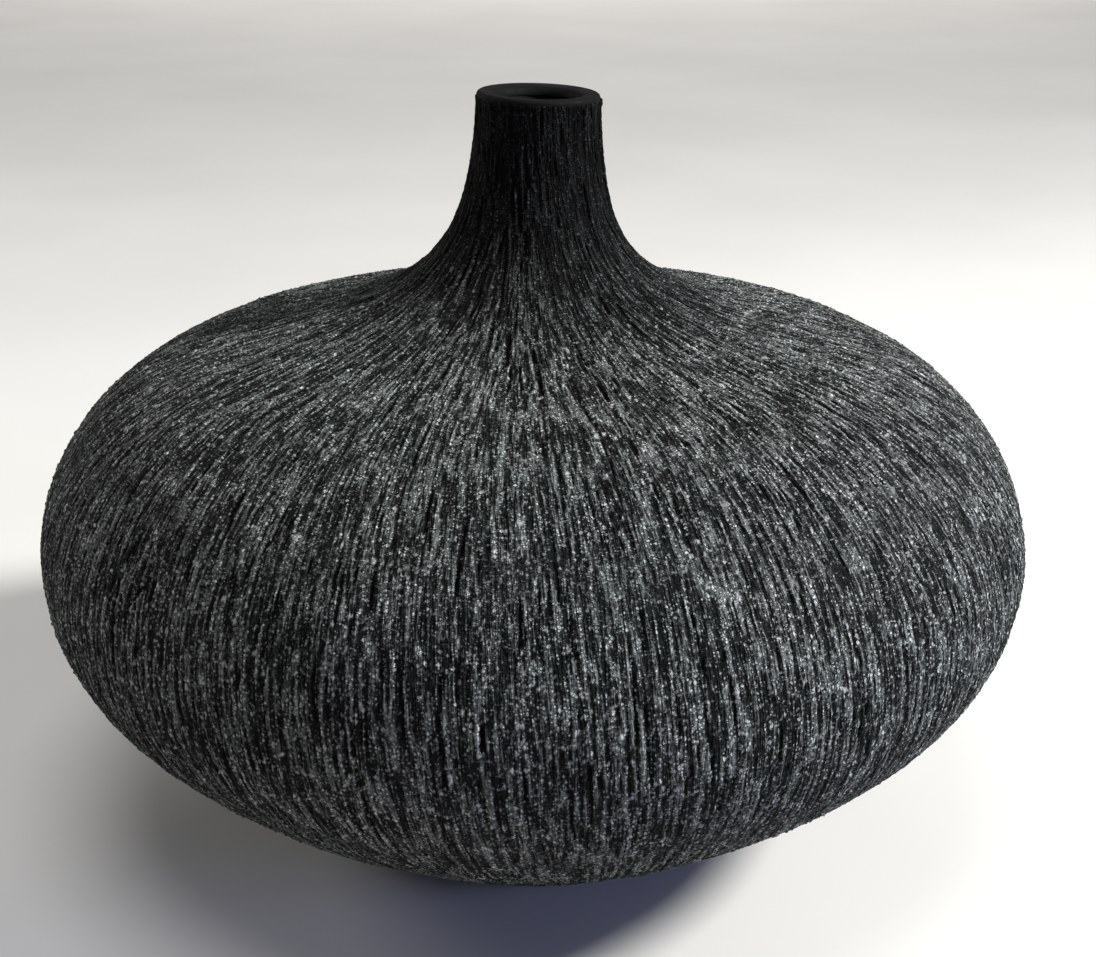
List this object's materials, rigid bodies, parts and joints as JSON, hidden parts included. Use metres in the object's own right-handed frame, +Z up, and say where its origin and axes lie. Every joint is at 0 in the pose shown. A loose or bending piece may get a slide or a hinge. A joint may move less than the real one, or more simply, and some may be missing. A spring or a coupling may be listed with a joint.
{
  "type": "narrow-necked clay bottle vase",
  "caption": "Squat round-bellied black clay bottle with a narrow neck and small lip, its outside combed from neck to foot in coarse slip.",
  "frame": {"origin": "centre of the foot, on the surface the pot stands on", "axes": "+Z up along the axis the pot is turned about; the front seen by a viewer looks along +Y"},
  "size_m": [0.22, 0.22, 0.168],
  "materials": {
    "clay": "fired black clay, matte, finely gritty",
    "bare_lip": "smoothed black clay, dull sheen",
    "joint_clay": "finger-pressed clay, matte",
    "combed_slip": "coarse combed slip, dry matte charcoal"
  },
  "bodies": {
    "root": {"floor_disc": "clay", "bowl_base": "clay", "bowl_wall": "clay", "lower_wall": "clay", "upper_wall": "clay", "shoulder_wall": "clay", "shoulder_dome": "clay", "shoulder_collar": "clay", "neck_flare": "clay", "neck_tube": "clay", "lip_ring": "bare_lip", "floor_seam_coil": "joint_clay", "belly_seam_coil": "joint_clay", "neck_seam_coil": "joint_clay", "slip_coat_lower": "combed_slip", "slip_coat_shoulder": "combed_slip", "slip_coat_neck": "combed_slip"}
  },
  "joints": []
}
